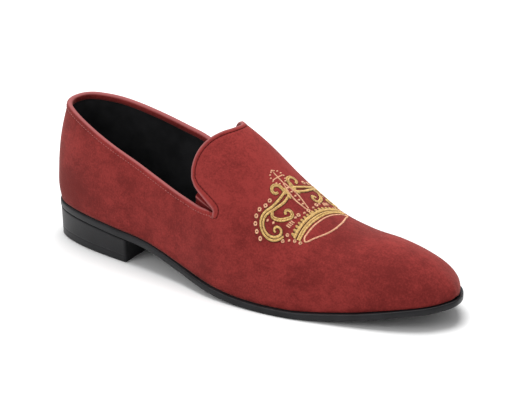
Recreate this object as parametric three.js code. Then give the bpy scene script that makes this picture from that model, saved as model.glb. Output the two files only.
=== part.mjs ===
// Evening slipper, right shoe, men's size 42: whole-cut suede upper with a rounded tab, a thin sole and a
// block heel.
// Millimetres. +X runs from heel to toe, +Y to the medial side, +Z up; the sole and heel stand on z = 0.

import * as THREE from "three";
import { mergeVertices } from "three/addons/utils/BufferGeometryUtils.js";

// ---------------------------------------------------------------------------------------------------------
// Driving sizes

const LENGTH = 300;
const SEAM_GAP = 0.3; // between two pieces that are sewn or glued together

const SOLE_EDGE_ROUND = 1.1;
const HEEL_TAPER = 1.0; // the heel narrows by this much all round, down to the floor
const HEEL_BREAST = 73;

const WALL = 2.2; // suede, stiffener and lining together
const BORDER_WIDTH = 2.4; // folded border along the tab's edge
const BORDER_RISE = 0.6;

const INSOLE_THICKNESS = 2.2;
const INSOLE_CLEARANCE = 0.5;

const BINDING_THICKNESS = 0.8;
const BINDING_OUTSIDE = 2.4; // how far it reaches down the outside of the quarters
const BINDING_INSIDE = 3.6; // and down the inside

const GORE_THICKNESS = 0.9;
const GORE_TUCK = 3; // how far it runs on under the quarter and under the tab
const GORE_FOLD = 1;

const LATERAL = -1;
const MEDIAL = 1;

// Half widths of the sole from the straight line between heel and toe, and the ledge that it leaves
// outside the upper.
const OUTLINE = [
  { x: 0, lateral: 0, medial: 0, ledge: 1 },
  { x: 6, lateral: 15.7, medial: 14.5, ledge: 1 },
  { x: 20, lateral: 24.2, medial: 24, ledge: 1.2 },
  { x: 40, lateral: 30, medial: 30.8, ledge: 1.4 },
  { x: 65, lateral: 33.8, medial: 34, ledge: 1.6 },
  { x: 90, lateral: 36.4, medial: 33, ledge: 1.8 },
  { x: 120, lateral: 42, medial: 30, ledge: 2.2 },
  { x: 150, lateral: 50, medial: 32, ledge: 2.8 },
  { x: 180, lateral: 52, medial: 39.5, ledge: 3 },
  { x: 205, lateral: 50, medial: 46.5, ledge: 3 },
  { x: 230, lateral: 43.8, medial: 47.5, ledge: 3 },
  { x: 255, lateral: 36, medial: 40.5, ledge: 3 },
  { x: 275, lateral: 28, medial: 32, ledge: 2.6 },
  { x: 290, lateral: 18, medial: 22, ledge: 2.2 },
  { x: 297, lateral: 8.5, medial: 11.5, ledge: 2.3 },
  { x: 300, lateral: 0, medial: 0, ledge: 2.4 },
];

// Height of the sole's underside and its thickness: heel seat, arch, flat tread and toe spring.
const SOLE = [
  { x: 0, under: 20.8, thickness: 4.8 },
  { x: 60, under: 17.2, thickness: 4.8 },
  { x: 90, under: 14.6, thickness: 4.6 },
  { x: 130, under: 6, thickness: 4.4 },
  { x: 165, under: 1, thickness: 4.3 },
  { x: 185, under: 0, thickness: 4.3 },
  { x: 208, under: 0, thickness: 4.3 },
  { x: 240, under: 3, thickness: 4.3 },
  { x: 275, under: 8.8, thickness: 4.3 },
  { x: 300, under: 13.5, thickness: 4.3 },
];

// The last. ridge is the height of its top line, and sweep how far that stands behind the foot of the
// section. Each half section is one curve from the feather line to the ridge: lean is how far the wall first
// swells out, side how straight it stands and flat how broad its top is, as shares of the half width and the
// height.
const LAST = [
  { x: 0, ridge: 120, sweep: 0, side: 0.55, latLean: 0.05, latFlat: 0.6, medLean: 0.05, medFlat: 0.6 },
  { x: 60, ridge: 119, sweep: 0, side: 0.5, latLean: 0.06, latFlat: 0.62, medLean: 0.08, medFlat: 0.62 },
  { x: 100, ridge: 110, sweep: 0, side: 0.5, latLean: 0.06, latFlat: 0.62, medLean: 0.2, medFlat: 0.65 },
  { x: 125, ridge: 102.8, sweep: 0, side: 0.5, latLean: 0.05, latFlat: 0.6, medLean: 0.22, medFlat: 0.66 },
  { x: 150, ridge: 90.7, sweep: 0, side: 0.5, latLean: 0.04, latFlat: 0.6, medLean: 0.2, medFlat: 0.66 },
  { x: 175, ridge: 71.9, sweep: 0, side: 0.5, latLean: 0.04, latFlat: 0.6, medLean: 0.15, medFlat: 0.64 },
  { x: 200, ridge: 53, sweep: 0, side: 0.5, latLean: 0.04, latFlat: 0.6, medLean: 0.09, medFlat: 0.62 },
  { x: 225, ridge: 44.4, sweep: 1, side: 0.5, latLean: 0.04, latFlat: 0.6, medLean: 0.07, medFlat: 0.6 },
  { x: 250, ridge: 43.1, sweep: 4, side: 0.5, latLean: 0.05, latFlat: 0.6, medLean: 0.06, medFlat: 0.6 },
  { x: 275, ridge: 38.8, sweep: 10, side: 0.52, latLean: 0.06, latFlat: 0.62, medLean: 0.06, medFlat: 0.62 },
  { x: 290, ridge: 34.2, sweep: 17, side: 0.55, latLean: 0.08, latFlat: 0.64, medLean: 0.08, medFlat: 0.64 },
  { x: 300, ridge: 31, sweep: 24, side: 0.55, latLean: 0.08, latFlat: 0.64, medLean: 0.08, medFlat: 0.64 },
];

// Curve of the heel's back, by height above the feather line: how far it stands in from the sole's back.
const BACK_CURVE = [
  { height: 0, inset: 0.8 },
  { height: 7, inset: -0.8 },
  { height: 22, inset: -0.7 },
  { height: 45, inset: 1.6 },
  { height: 70, inset: 7.7 },
  { height: 110, inset: 18.5 },
];

// Top line of the two quarters, from the back of the collar to the notch beside the tab.
const NOTCH = 145.5;
const COLLAR = [
  { x: 0, lateral: 92.4, medial: 92.4 },
  { x: 12, lateral: 89.7, medial: 93.5 },
  { x: 30, lateral: 84.6, medial: 91 },
  { x: 44, lateral: 80.2, medial: 87.6 },
  { x: 60, lateral: 75.2, medial: 83.2 },
  { x: 77, lateral: 70.2, medial: 78.6 },
  { x: 95, lateral: 64.2, medial: 74 },
  { x: 120, lateral: 56.7, medial: 63 },
  { x: 135, lateral: 53.8, medial: 56.4 },
  { x: NOTCH, lateral: 53.5, medial: 53.8 },
];

// Front line of the quarters below the notch, then the edge of the tab above it. rise is 0 at the feather
// line, 1 at the notch and 2 on the ridge; the last row mirrors the one before 2, so the edge runs square
// across the ridge.
const TAB_EDGE = [
  { rise: 0, x: 152 },
  { rise: 1, x: NOTCH },
  { rise: 1.02, x: 144.4 },
  { rise: 1.04, x: 137 },
  { rise: 1.06, x: 130 },
  { rise: 1.1, x: 124.3 },
  { rise: 1.16, x: 121.4 },
  { rise: 1.25, x: 120 },
  { rise: 1.38, x: 120.5 },
  { rise: 1.54, x: 123.7 },
  { rise: 1.72, x: 129 },
  { rise: 1.86, x: 132.9 },
  { rise: 2, x: 134.4 },
  { rise: 2.14, x: 132.9 },
];

// ---------------------------------------------------------------------------------------------------------
// Curves through the tables

// Stations run along the shoe as an angle, 0 at the back of the heel and PI at the tip of the toe, so that
// even steps crowd together round both ends.
const stationAt = (x) => Math.acos(THREE.MathUtils.clamp(1 - (2 * x) / LENGTH, -1, 1));

// A smooth curve through one column of a table.
function curveThrough(rows, key, column, spread = (value) => value) {
  const knots = rows.map((row) => spread(row[key]));
  const values = rows.map((row) => row[column]);
  const end = knots.length - 1;
  const rate = (i) => (values[i + 1] - values[i]) / (knots[i + 1] - knots[i]);
  const slopes = knots.map((knot, i) => {
    if (i === 0) return rate(0);
    if (i === end) return rate(end - 1);
    const before = knot - knots[i - 1];
    const after = knots[i + 1] - knot;
    return (rate(i - 1) * after + rate(i) * before) / (before + after);
  });
  return (argument) => {
    const a = THREE.MathUtils.clamp(argument, knots[0], knots[end]);
    let i = 0;
    while (i < end - 1 && a > knots[i + 1]) i += 1;
    const span = knots[i + 1] - knots[i];
    const t = (a - knots[i]) / span;
    const bend = t * t * (3 - 2 * t);
    const leave = t * (1 - t) ** 2 * span * slopes[i];
    const arrive = t * t * (1 - t) * span * slopes[i + 1];
    return values[i] + bend * (values[i + 1] - values[i]) + leave - arrive;
  };
}

const alongShoe = (rows, column) => curveThrough(rows, "x", column, stationAt);

const soleCurve = alongShoe(SOLE, "under");
const soleUnder = (u) => Math.max(soleCurve(u), 0);
const soleThickness = alongShoe(SOLE, "thickness");
const ledge = alongShoe(OUTLINE, "ledge");
const ridge = alongShoe(LAST, "ridge");
const sweep = curveThrough(LAST, "x", "sweep");
const straight = alongShoe(LAST, "side");
const backInset = curveThrough(BACK_CURVE, "height", "inset");
const edgeX = curveThrough(TAB_EDGE, "rise", "x");
const sides = {
  [LATERAL]: {
    halfWidth: alongShoe(OUTLINE, "lateral"),
    lean: alongShoe(LAST, "latLean"),
    flat: alongShoe(LAST, "latFlat"),
    collar: alongShoe(COLLAR, "lateral"),
  },
  [MEDIAL]: {
    halfWidth: alongShoe(OUTLINE, "medial"),
    lean: alongShoe(LAST, "medLean"),
    flat: alongShoe(LAST, "medFlat"),
    collar: alongShoe(COLLAR, "medial"),
  },
};

const soleTop = (u) => soleUnder(u) + soleThickness(u);
const featherHeight = (u) => soleTop(u) + SEAM_GAP;

// ---------------------------------------------------------------------------------------------------------
// The last

// A point of the sole's outline, moved in square to the edge by inset.
function solePlan(u, side, inset) {
  if (u <= 0) return [inset, 0];
  if (u >= Math.PI) return [LENGTH - inset, 0];
  const { halfWidth } = sides[side];
  const step = 1e-3;
  const [before, after] = [Math.max(u - step, 0), Math.min(u + step, Math.PI)];
  const alongX = (LENGTH / 2) * (Math.cos(before) - Math.cos(after));
  const alongY = halfWidth(after) - halfWidth(before);
  const reach = Math.hypot(alongX, alongY);
  const x = (LENGTH / 2) * (1 - Math.cos(u)) + (inset * alongY) / reach;
  return [x, side * Math.max(halfWidth(u) - (inset * alongX) / reach, 0)];
}

// A point of the outer surface: u along the shoe, v up the half section from the feather line (0) to the
// ridge (1), where the two sides meet.
function lastPoint(u, v, side) {
  const { lean, flat } = sides[side];
  const [footX, y] = solePlan(u, side, ledge(u));
  const [otherFootX] = solePlan(u, -side, ledge(u));
  const foot = featherHeight(u);
  const rest = 1 - v;
  const start = rest ** 3;
  const swell = 3 * v * rest ** 2;
  const turn = 3 * v ** 2 * rest;
  const breadth = start + (1 + lean(u)) * swell + flat(u) * turn;
  const station = (LENGTH / 2) * (1 - Math.cos(u));
  const behind = sweep(station) * (1 - breadth);
  const top = ridge(stationAt(station - behind));
  const up = (top - foot) * (straight(u) * swell + turn + v ** 3);
  const x = THREE.MathUtils.lerp((footX + otherFootX) / 2, footX, breadth);
  const nearHeel = (1 + Math.cos(u)) / 2;
  const back = (backInset(up) - backInset(0)) * nearHeel;
  return new THREE.Vector3(x + back - behind, y * breadth, foot + up);
}

function lastNormal(u, v, side) {
  const step = 1e-3;
  const [back, front] = [Math.max(u - step, 0), Math.min(u + step, Math.PI)];
  const [low, high] = [Math.max(v - step, 0), Math.min(v + step, 1)];
  const along = lastPoint(front, v, side).sub(lastPoint(back, v, side));
  const up = lastPoint(u, high, side).sub(lastPoint(u, low, side));
  const normal = along.cross(up).multiplyScalar(-side);
  if (u <= 0 || u >= Math.PI || v >= 1) normal.y = 0;
  return normal.normalize();
}

// How far up the half section a height is reached.
function shareAtHeight(u, height, side) {
  let low = 0;
  let high = 1;
  for (let i = 0; i < 40; i += 1) {
    const middle = (low + high) / 2;
    if (lastPoint(u, middle, side).z < height) low = middle;
    else high = middle;
  }
  return low;
}

const collarShare = (u, side) => shareAtHeight(u, sides[side].collar(u), side);

const notchStation = stationAt(NOTCH);
const notchShare = {
  [LATERAL]: collarShare(notchStation, LATERAL),
  [MEDIAL]: collarShare(notchStation, MEDIAL),
};

// Share of the half section at a rise: 0 feather line, 1 notch, 2 ridge.
function shareAtRise(rise, side) {
  const notch = notchShare[side];
  return rise < 1 ? notch * rise : notch + (1 - notch) * (rise - 1);
}

// A place on the last, u along the shoe and v up the half section, beside the edge of the tab: width in from
// it, square to it.
function besideTabEdge(rise, width, side) {
  const at = (r) => [stationAt(edgeX(r)), shareAtRise(r, side)];
  const [u, v] = at(rise);
  if (rise < 1) return [stationAt(edgeX(rise) + width), v];
  const step = 1e-3;
  const ahead = Math.min(v + step, 1);
  const along = lastPoint(...at(Math.min(rise + step, 2)), side).sub(lastPoint(...at(rise - step), side));
  const inwards = along.cross(lastNormal(u, v, side)).setLength(-side * width);
  const byU = lastPoint(u + step, v, side).sub(lastPoint(u - step, v, side)).divideScalar(2 * step);
  if (rise === 2) return [u + width / byU.length(), 1];
  const byV = lastPoint(u, ahead, side).sub(lastPoint(u, v - step, side)).divideScalar(ahead - v + step);
  const [a, b, c] = [byU.dot(byU), byU.dot(byV), byV.dot(byV)];
  const [p, q] = [inwards.dot(byU), inwards.dot(byV)];
  const divisor = a * c - b * b;
  const [moveU, moveV] = [(p * c - q * b) / divisor, (q * a - p * b) / divisor];
  return [u + moveU, v + moveV];
}

// ---------------------------------------------------------------------------------------------------------
// Skins and solids

// Collects triangles and hands back a geometry with its shared vertices merged.
class Skin {
  constructor() {
    this.points = [];
    this.marks = [];
  }

  triangle(a, b, c) {
    const flat = a.distanceTo(b) < 1e-5 || b.distanceTo(c) < 1e-5 || c.distanceTo(a) < 1e-5;
    if (flat) return;
    for (const point of [a, b, c]) {
      this.points.push(point.x, point.y, point.z);
      this.marks.push(point.foot ? 1 : 0, point.lift ?? 0);
    }
  }

  // Joins neighbouring rows of points; turned flips the way that the faces look.
  rows(rows, turned = false) {
    for (let i = 0; i + 1 < rows.length; i += 1) {
      for (let j = 0; j + 1 < rows[i].length; j += 1) {
        const corners = [rows[i][j], rows[i + 1][j], rows[i + 1][j + 1], rows[i][j + 1]];
        if (turned) corners.reverse();
        const [a, b, c, d] = corners;
        this.triangle(a, b, c);
        this.triangle(a, c, d);
      }
    }
  }

  geometry() {
    const loose = new THREE.BufferGeometry();
    loose.setAttribute("position", new THREE.Float32BufferAttribute(this.points, 3));
    loose.setAttribute("mark", new THREE.Float32BufferAttribute(this.marks, 2));
    return mergeVertices(loose, 1e-4);
  }
}

function solidFrom(skin) {
  const geometry = skin.geometry();
  geometry.deleteAttribute("mark");
  return geometry;
}

// Gives a skin its thickness: an inner copy, and a rim along every free edge. A marked foot stays level, and
// a marked lift raises the outside.
function thicken(skin, wall) {
  const geometry = skin.geometry();
  geometry.computeVertexNormals();
  const { position, normal, mark } = geometry.attributes;
  const outer = [];
  const inner = [];
  for (let i = 0; i < position.count; i += 1) {
    const point = new THREE.Vector3().fromBufferAttribute(position, i);
    const out = new THREE.Vector3().fromBufferAttribute(normal, i);
    if (mark.getX(i)) out.setZ(0).normalize();
    outer.push(point.clone().addScaledVector(out, mark.getY(i)));
    inner.push(point.clone().addScaledVector(out, -wall));
  }
  const index = [...geometry.index.array];
  const edges = new Map();
  const solid = new Skin();
  for (let i = 0; i < index.length; i += 3) {
    const [a, b, c] = index.slice(i, i + 3);
    solid.triangle(outer[a], outer[b], outer[c]);
    solid.triangle(inner[a], inner[c], inner[b]);
    for (const [from, to] of [[a, b], [b, c], [c, a]]) {
      const back = `${to},${from}`;
      if (edges.has(back)) edges.delete(back);
      else edges.set(`${from},${to}`, [from, to]);
    }
  }
  for (const [from, to] of edges.values()) {
    solid.triangle(outer[to], outer[from], inner[from]);
    solid.triangle(outer[to], inner[from], inner[to]);
  }
  return solidFrom(solid);
}

function range(from, to, steps) {
  return Array.from({ length: steps + 1 }, (_, i) => from + ((to - from) * i) / steps);
}

// ---------------------------------------------------------------------------------------------------------
// Upper

const QUARTER_ROWS = 5;
// Closest together at the tab's lower corner and on the ridge.
const TAB_RISES = [1.02, 1.034, 1.048, 1.065, 1.09, 1.13, 1.2, 1.31, 1.46, 1.64, 1.8, 1.92, 2];
const QUARTER_COLUMNS = 30;
const VAMP_COLUMNS = 34;

function upperSkin() {
  const skin = new Skin();
  const rises = [...range(0, 1, QUARTER_ROWS), ...TAB_RISES];
  for (const side of [LATERAL, MEDIAL]) {
    const upperPoint = (u, v, marks) => Object.assign(lastPoint(u, v, side), marks);

    const quarter = range(0, notchStation, QUARTER_COLUMNS).map((u, column) =>
      rises.slice(0, QUARTER_ROWS + 1).map((rise) => {
        const front = column / QUARTER_COLUMNS;
        const station = u + (stationAt(edgeX(rise)) - notchStation) * front ** 3;
        return upperPoint(station, collarShare(u, side) * rise, { foot: rise === 0 });
      }),
    );
    skin.rows(quarter, side === MEDIAL);

    // The border along the tab's edge stands up, with a short step behind it.
    const border = [0, BORDER_WIDTH, BORDER_WIDTH + 0.6].map((width, i) =>
      rises.map((rise) => {
        const lift = rise < 1 || i === 2 ? 0 : BORDER_RISE;
        return upperPoint(...besideTabEdge(rise, width, side), { foot: rise === 0, lift });
      }),
    );
    // From there the rows fan out evenly to the toe.
    const front = range(0, 1, VAMP_COLUMNS).slice(1).map((share) =>
      rises.map((rise, i) => {
        const [startU, startV] = besideTabEdge(rise, BORDER_WIDTH + 0.6, side);
        const v = THREE.MathUtils.lerp(startV, i / (rises.length - 1), share);
        const u = share === 1 ? Math.PI : THREE.MathUtils.lerp(startU, Math.PI, share);
        return upperPoint(u, v, { foot: rise === 0 });
      }),
    );
    skin.rows([...border, ...front], side === MEDIAL);
  }
  return skin;
}

// ---------------------------------------------------------------------------------------------------------
// Sole, heel and insole: slabs whose edge follows the outline

// Each station is a ring: up the lateral edge, across the top, down the medial edge and back underneath.
// levels run from the bottom to the top, each with its inset from the outline and its height at a station.
function slab({ to = Math.PI, stations, across, levels, place = (point) => point }) {
  const top = levels.length - 1;
  const pointAt = (u, share, level) => {
    const { inset, height } = levels[level];
    const [lateralX, lateralY] = solePlan(u, LATERAL, inset(u));
    const [medialX, medialY] = solePlan(u, MEDIAL, inset(u));
    const x = THREE.MathUtils.lerp(lateralX, medialX, share);
    const y = THREE.MathUtils.lerp(lateralY, medialY, share);
    const point = place(new THREE.Vector3(x, y, 0), u);
    return point.setZ(height(stationAt(point.x)));
  };
  const shares = range(0, 1, across);
  const us = range(0, to, stations);
  const rings = us.map((u) => [
    ...levels.map((_, level) => pointAt(u, 0, level)),
    ...shares.slice(1).map((share) => pointAt(u, share, top)),
    ...levels.map((_, level) => pointAt(u, 1, top - level)).slice(1),
    ...shares.slice(1).map((share) => pointAt(u, 1 - share, 0)),
  ]);
  const skin = new Skin();
  skin.rows(rings);
  const end = levels.map((_, level) => shares.map((share) => pointAt(to, share, level)));
  if (to < Math.PI) skin.rows(end, true);
  return solidFrom(skin);
}

const evenly = (inset) => () => inset;

function outsoleGeometry() {
  const round = SOLE_EDGE_ROUND;
  return slab({
    stations: 64,
    across: 1,
    levels: [
      { inset: evenly(round), height: soleUnder },
      { inset: evenly(round * 0.3), height: (u) => soleUnder(u) + round * 0.3 },
      { inset: evenly(0), height: (u) => soleUnder(u) + round },
      { inset: evenly(0), height: (u) => soleTop(u) - round },
      { inset: evenly(round * 0.3), height: (u) => soleTop(u) - round * 0.3 },
      { inset: evenly(round), height: soleTop },
    ],
  });
}

// The breast is slightly hollow, so its middle stands behind its corners.
const BREAST_HOLLOW = 2;

function heelGeometry() {
  const to = stationAt(HEEL_BREAST);
  const { [LATERAL]: lateral, [MEDIAL]: medial } = sides;
  const place = (point, u) => {
    if (u < to) return point;
    const half = point.y < 0 ? lateral.halfWidth(to) : medial.halfWidth(to);
    return point.setX(HEEL_BREAST - BREAST_HOLLOW * (1 - (point.y / half) ** 2));
  };
  const above = (u) => soleUnder(u) - SEAM_GAP;
  return slab({
    to,
    stations: 20,
    across: 6,
    place,
    levels: [
      { inset: evenly(HEEL_TAPER + 0.5), height: () => 0 },
      { inset: evenly(HEEL_TAPER), height: () => 0.5 },
      { inset: evenly(0.4), height: above },
    ],
  });
}

function insoleGeometry() {
  const inset = (u) => ledge(u) + WALL + INSOLE_CLEARANCE;
  return slab({
    stations: 48,
    across: 1,
    levels: [
      { inset, height: (u) => soleTop(u) + SEAM_GAP },
      { inset, height: (u) => soleTop(u) + SEAM_GAP + INSOLE_THICKNESS },
    ],
  });
}

// ---------------------------------------------------------------------------------------------------------
// Binding round the quarters' top edge

const BINDING_COLUMNS = 32;
const BINDING_END = 3; // it stops this far behind the notch

function bindingGeometry() {
  const end = stationAt(NOTCH - BINDING_END);
  const stops = [
    ...range(end, 0, BINDING_COLUMNS).map((u) => ({ u, side: LATERAL })),
    ...range(0, end, BINDING_COLUMNS).slice(1).map((u) => ({ u, side: MEDIAL })),
  ];
  const edge = stops.map(({ u, side }) => lastPoint(u, collarShare(u, side), side));
  const near = SEAM_GAP;
  const far = SEAM_GAP + BINDING_THICKNESS;
  // Across the wall (outwards), and down from the top edge.
  const profile = [
    [near, BINDING_OUTSIDE],
    [near, -near],
    [-WALL - near, -near],
    [-WALL - near, BINDING_INSIDE],
    [-WALL - far, BINDING_INSIDE],
    [-WALL - far, -near * 1.5],
    [-WALL * 0.8, -far],
    [-WALL * 0.2, -far],
    [far, -near * 1.5],
    [far, BINDING_OUTSIDE],
  ];
  const sections = stops.map(({ u, side }, i) => {
    const v = collarShare(u, side);
    const along = edge[Math.min(i + 1, edge.length - 1)].clone().sub(edge[Math.max(i - 1, 0)]);
    const out = lastNormal(u, v, side);
    const down = out.clone().cross(along).normalize();
    return profile.map(([across, drop]) =>
      edge[i].clone().addScaledVector(out, across).addScaledVector(down, drop),
    );
  });
  const skin = new Skin();
  skin.rows(sections.map((section) => [...section, section[0]]));
  // Each end is closed leg by leg.
  const legs = [[0, 1, 8, 9], [1, 2, 7, 8], [2, 3, 4, 5], [2, 5, 6, 7]];
  for (const [section, turned] of [[sections[0], false], [sections.at(-1), true]]) {
    for (const leg of legs) {
      const [a, b, c, d] = (turned ? [...leg].reverse() : leg).map((i) => section[i]);
      skin.triangle(a, b, c);
      skin.triangle(a, c, d);
    }
  }
  return solidFrom(skin);
}

// ---------------------------------------------------------------------------------------------------------
// Elastic gores in the notches

const GORE_FRONT = { behindNotch: 2, rise: 1.015 }; // in front of this, the notch is sewn shut
const GORE_TOP = { behindNotch: 18, rise: 1.07 };

function goreGeometry(side) {
  const { lerp, smoothstep } = THREE.MathUtils;
  const underQuarter = WALL + BINDING_THICKNESS + 3 * SEAM_GAP;
  const underTab = WALL + SEAM_GAP;
  const grid = range(0, 1, 10).map((climb) => {
    const quarterU = stationAt(NOTCH - lerp(GORE_FRONT.behindNotch, GORE_TOP.behindNotch, climb));
    const quarterV = shareAtHeight(quarterU, sides[side].collar(quarterU) - GORE_TUCK, side);
    const [tabU, tabV] = besideTabEdge(lerp(GORE_FRONT.rise, GORE_TOP.rise, climb), GORE_TUCK, side);
    return range(0, 1, 8).map((share) => {
      const u = lerp(quarterU, tabU, share);
      const v = lerp(quarterV, tabV, share);
      const fold = GORE_FOLD * climb * Math.sin(Math.PI * share) ** 4;
      const depth = lerp(underQuarter, underTab, smoothstep(share, 0.4, 0.8));
      return lastPoint(u, v, side).addScaledVector(lastNormal(u, v, side), fold - depth);
    });
  });
  const skin = new Skin();
  skin.rows(grid, side === LATERAL);
  return thicken(skin, GORE_THICKNESS);
}

// ---------------------------------------------------------------------------------------------------------
// Assembly

const suede = new THREE.MeshStandardMaterial({ color: 0x92302f, roughness: 0.95, metalness: 0 });
const elastic = new THREE.MeshStandardMaterial({ color: 0x4a1519, roughness: 0.9, metalness: 0 });
const soleBlack = new THREE.MeshStandardMaterial({ color: 0x1b1b1d, roughness: 0.5, metalness: 0 });
const liningBlack = new THREE.MeshStandardMaterial({ color: 0x121214, roughness: 0.6, metalness: 0 });

const shoe = new THREE.Group();
// The origin lies on the floor, under the middle of the sole's outline.
const widest = range(0, Math.PI, 400).map((u) => [solePlan(u, LATERAL, 0)[1], solePlan(u, MEDIAL, 0)[1]]);
const lateralReach = Math.min(...widest.map(([y]) => y));
const medialReach = Math.max(...widest.map(([, y]) => y));
shoe.position.set(-LENGTH / 2, -(lateralReach + medialReach) / 2, 0);

function add(name, geometry, material) {
  const mesh = new THREE.Mesh(geometry, material);
  mesh.name = name;
  shoe.add(mesh);
}

add("outsole", outsoleGeometry(), soleBlack);
add("heel", heelGeometry(), soleBlack);
add("insole", insoleGeometry(), liningBlack);
add("upper", thicken(upperSkin(), WALL), suede);
add("topline_binding", bindingGeometry(), suede);
add("gore_lateral", goreGeometry(LATERAL), elastic);
add("gore_medial", goreGeometry(MEDIAL), elastic);

export default shoe;
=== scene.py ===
import math

import bpy
import numpy as np
from mathutils import Euler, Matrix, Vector


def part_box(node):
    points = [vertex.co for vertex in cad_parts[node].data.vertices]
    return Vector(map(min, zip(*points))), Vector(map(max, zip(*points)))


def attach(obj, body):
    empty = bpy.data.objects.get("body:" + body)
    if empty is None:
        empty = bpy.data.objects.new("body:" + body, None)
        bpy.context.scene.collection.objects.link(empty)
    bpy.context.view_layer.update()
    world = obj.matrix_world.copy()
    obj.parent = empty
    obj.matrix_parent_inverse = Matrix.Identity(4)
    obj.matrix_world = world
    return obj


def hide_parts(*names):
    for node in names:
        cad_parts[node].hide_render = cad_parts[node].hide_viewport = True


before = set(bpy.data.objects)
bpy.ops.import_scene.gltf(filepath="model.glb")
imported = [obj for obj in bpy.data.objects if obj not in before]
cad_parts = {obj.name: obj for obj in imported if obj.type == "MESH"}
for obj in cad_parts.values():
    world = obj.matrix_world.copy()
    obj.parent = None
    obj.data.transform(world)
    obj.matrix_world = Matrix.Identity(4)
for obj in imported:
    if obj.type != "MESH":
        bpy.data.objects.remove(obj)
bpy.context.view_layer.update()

# ----------------------------------------
# Camera: a long lens on a tripod, looking down on the outer side of the shoe from in front of its toe.

VIEW_AZIMUTH = math.radians(33.6)
VIEW_ELEVATION = math.radians(22)
VIEW_ROLL = math.radians(-0.32)
VIEW_DISTANCE = 1.4
VIEW_LENS = 146
VIEW_TARGET = Vector((-0.0251, 0.0485, 0.0226))

camera = bpy.data.objects.new("camera", bpy.data.cameras.new("camera"))
camera.data.sensor_width = 36
camera.data.lens = VIEW_LENS
camera.data.clip_start = 0.05
towards_camera = Vector(
    (
        math.sin(VIEW_AZIMUTH) * math.cos(VIEW_ELEVATION),
        -math.cos(VIEW_AZIMUTH) * math.cos(VIEW_ELEVATION),
        math.sin(VIEW_ELEVATION),
    )
)
camera.location = VIEW_TARGET + VIEW_DISTANCE * towards_camera
level_view = (-towards_camera).to_track_quat("-Z", "Y")
camera.rotation_mode = "QUATERNION"
camera.rotation_quaternion = level_view @ Euler((0, 0, VIEW_ROLL)).to_quaternion()
bpy.context.scene.collection.objects.link(camera)
bpy.context.scene.camera = camera

# ----------------------------------------
# Studio: a white floor under one large soft lamp overhead, with a weaker one on the camera's side, in a
# white room.

FLOOR_REACH = 6
FLOOR_WHITE = (0.9, 0.9, 0.9, 1)
LAMP_AIM = Vector((0, 0, 0.03))
ROOM_LIGHT = 0.55


class Field:
    """An output of a material's nodes. Arithmetic with other fields and with numbers adds Math nodes."""

    def __init__(self, tree, socket=None):
        self.tree = tree
        self.socket = socket

    def node(self, kind, settings=None, sockets=None, output=0):
        """Adds a node: its settings first, then what its sockets hold or are linked to."""
        made = self.tree.nodes.new("ShaderNode" + kind)
        for name, value in (settings or {}).items():
            setattr(made, name, value)
        for name, value in (sockets or {}).items():
            if isinstance(value, Field):
                self.tree.links.new(value.socket, made.inputs[name])
            else:
                made.inputs[name].default_value = value
        return Field(self.tree, made.outputs[output])

    def maths(self, operation, first, second=0.0):
        return self.node("Math", {"operation": operation}, {0: first, 1: second})

    def __add__(self, other):
        return self.maths("ADD", self, other)

    def __sub__(self, other):
        return self.maths("SUBTRACT", self, other)

    def __rsub__(self, other):
        return self.maths("SUBTRACT", other, self)

    def __mul__(self, other):
        return self.maths("MULTIPLY", self, other)

    __radd__ = __add__
    __rmul__ = __mul__

    def along(self, axis):
        """How far a place in space lies along an axis: 0 is X, 1 is Y and 2 is Z."""
        return self.node("SeparateXYZ", None, {"Vector": self}, axis)

    def mark(self, name):
        """A value that the mesh holds at its points."""
        return self.node("Attribute", {"attribute_name": name}, output=2)

    def step(self, low, high):
        """0 below low and 1 above high, smooth between them."""
        limits = {"Value": self, "From Min": low, "From Max": high, "To Min": 0.0, "To Max": 1.0}
        return self.node("MapRange", {"interpolation_type": "SMOOTHSTEP"}, limits)

    def between(self, first, second):
        """A colour that goes from first to second as the field goes from 0 to 1."""
        return self.node("Mix", {"data_type": "RGBA"}, {0: self, 6: first, 7: second}, output=2)

    def noise(self, grain, detail=3.0, roughness=0.5):
        """Noise from 0 to 1 over a place in space, with bumps of about grain metres."""
        sockets = {"Vector": self, "Scale": 1 / grain, "Detail": detail, "Roughness": roughness}
        return self.node("TexNoise", None, sockets)

    def stretched(self, *factors):
        """A place in space, scaled along X, Y and Z."""
        return self.node("VectorMath", {"operation": "MULTIPLY"}, {0: self, 1: factors})

    def bump(self, height, strength=1.0):
        """Shading that follows a height in metres."""
        return self.node("Bump", None, {"Height": height, "Strength": strength, "Distance": 1.0})


def material(name):
    """A new material, its place in space and its shader."""
    made = bpy.data.materials.new(name)
    made.use_nodes = True
    place = Field(made.node_tree).node("TexCoord", output=3)
    return made, place, made.node_tree.nodes["Principled BSDF"]


def finish_surface(shader, varying, fixed):
    """Links what varies over the surface and sets what doesn't."""
    tree = shader.id_data
    for name, field in varying.items():
        tree.links.new(field.socket, shader.inputs[name])
    for name, value in fixed.items():
        shader.inputs[name].default_value = value


floor_paper, _, floor_shader = material("floor_paper")
finish_surface(floor_shader, {}, {"Base Color": FLOOR_WHITE, "Roughness": 0.9, "Specular IOR Level": 0.1})
floor_mesh = bpy.data.meshes.new("floor")
floor_turns = np.linspace(0, math.tau, 65)[:-1]
floor_rim = [(FLOOR_REACH * math.cos(turn), FLOOR_REACH * math.sin(turn), 0) for turn in floor_turns]
floor_mesh.from_pydata(floor_rim, [], [range(len(floor_rim))])
floor_mesh.materials.append(floor_paper)
floor = bpy.data.objects.new("floor", floor_mesh)
bpy.context.scene.collection.objects.link(floor)


def lamp(name, size, watts, place):
    made = bpy.data.objects.new(name, bpy.data.lights.new(name, "AREA"))
    made.data.shape = "DISK"
    made.data.size = size
    made.data.energy = watts
    made.location = place
    made.rotation_euler = (LAMP_AIM - Vector(place)).to_track_quat("-Z", "Y").to_euler()
    bpy.context.scene.collection.objects.link(made)


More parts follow.
